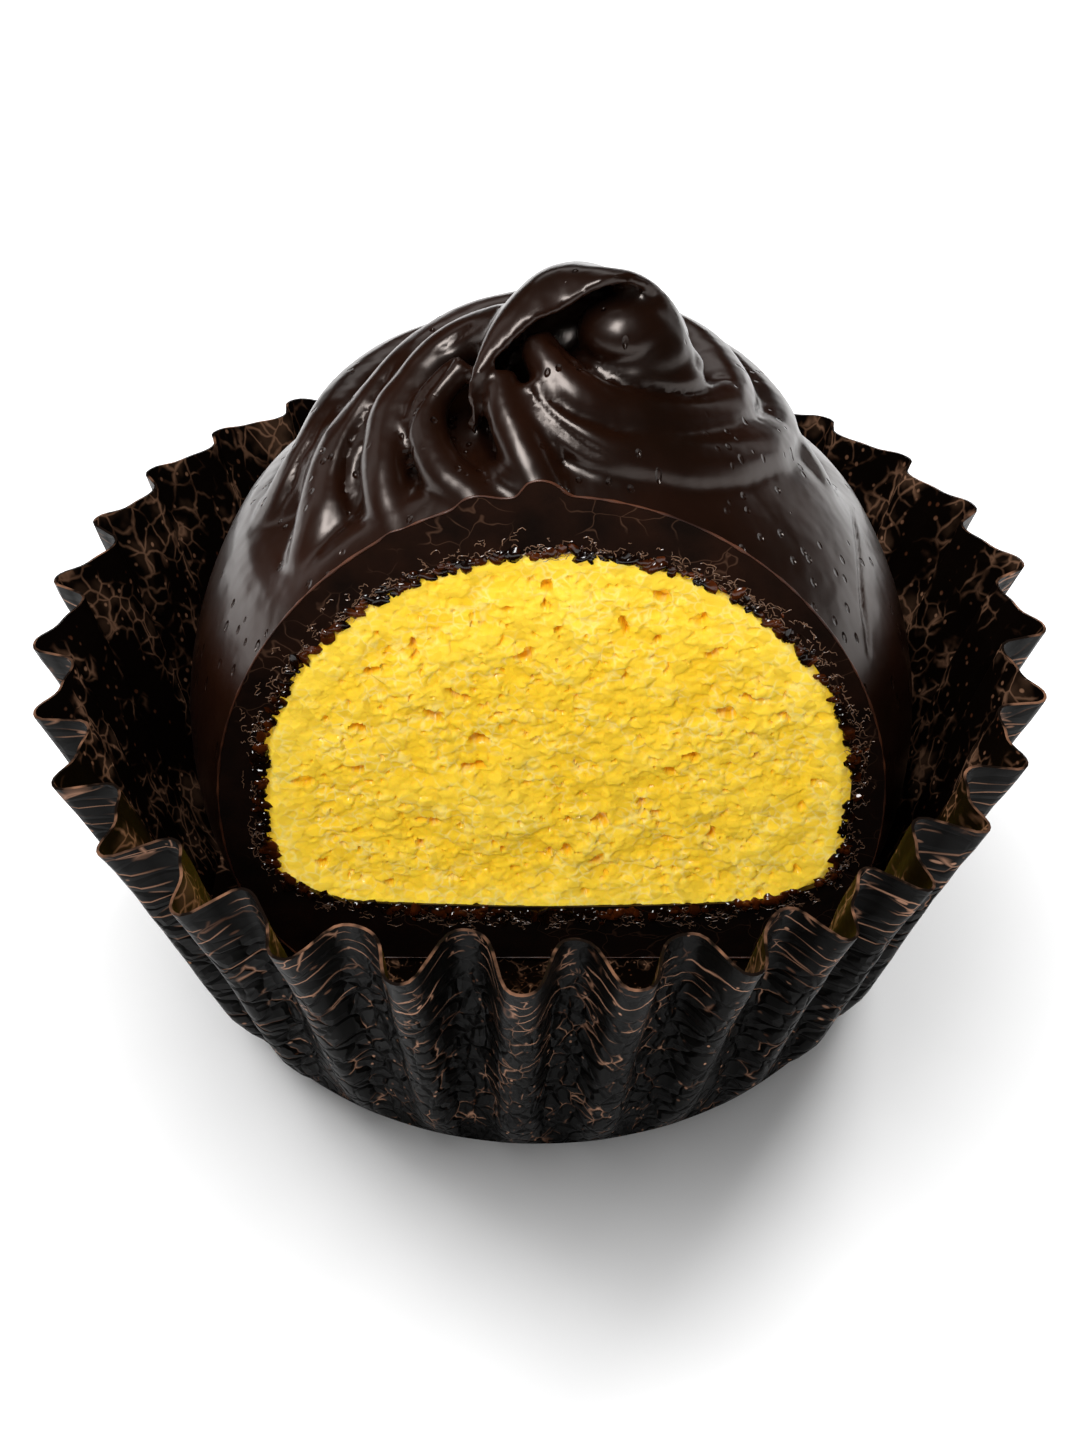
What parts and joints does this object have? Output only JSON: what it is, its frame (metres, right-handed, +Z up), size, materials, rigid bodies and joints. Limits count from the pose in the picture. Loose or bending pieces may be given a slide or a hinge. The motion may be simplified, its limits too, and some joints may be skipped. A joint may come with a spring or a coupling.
{
  "type": "chocolate cream",
  "caption": "Dome-shaped chocolate with a swirled, curled tip, cut open to show its cream filling, in a fluted round paper case.",
  "frame": {"origin": "middle of the flat underside of the paper case", "axes": "+Z up through the sweet, +X to the right of the cut face, -Y the way the cut face looks"},
  "size_m": [0.0486, 0.0475, 0.0365],
  "materials": {
    "chocolate": "dark chocolate, satin gloss, set from a dip",
    "cream": "moist yellow crumbly cream, cut face",
    "case_paper": "black satin greaseproof paper with fine copper crackle veins"
  },
  "bodies": {
    "root": {"paper_case": "case_paper", "chocolate_coat": "chocolate", "cream_filling": "cream"}
  },
  "joints": []
}
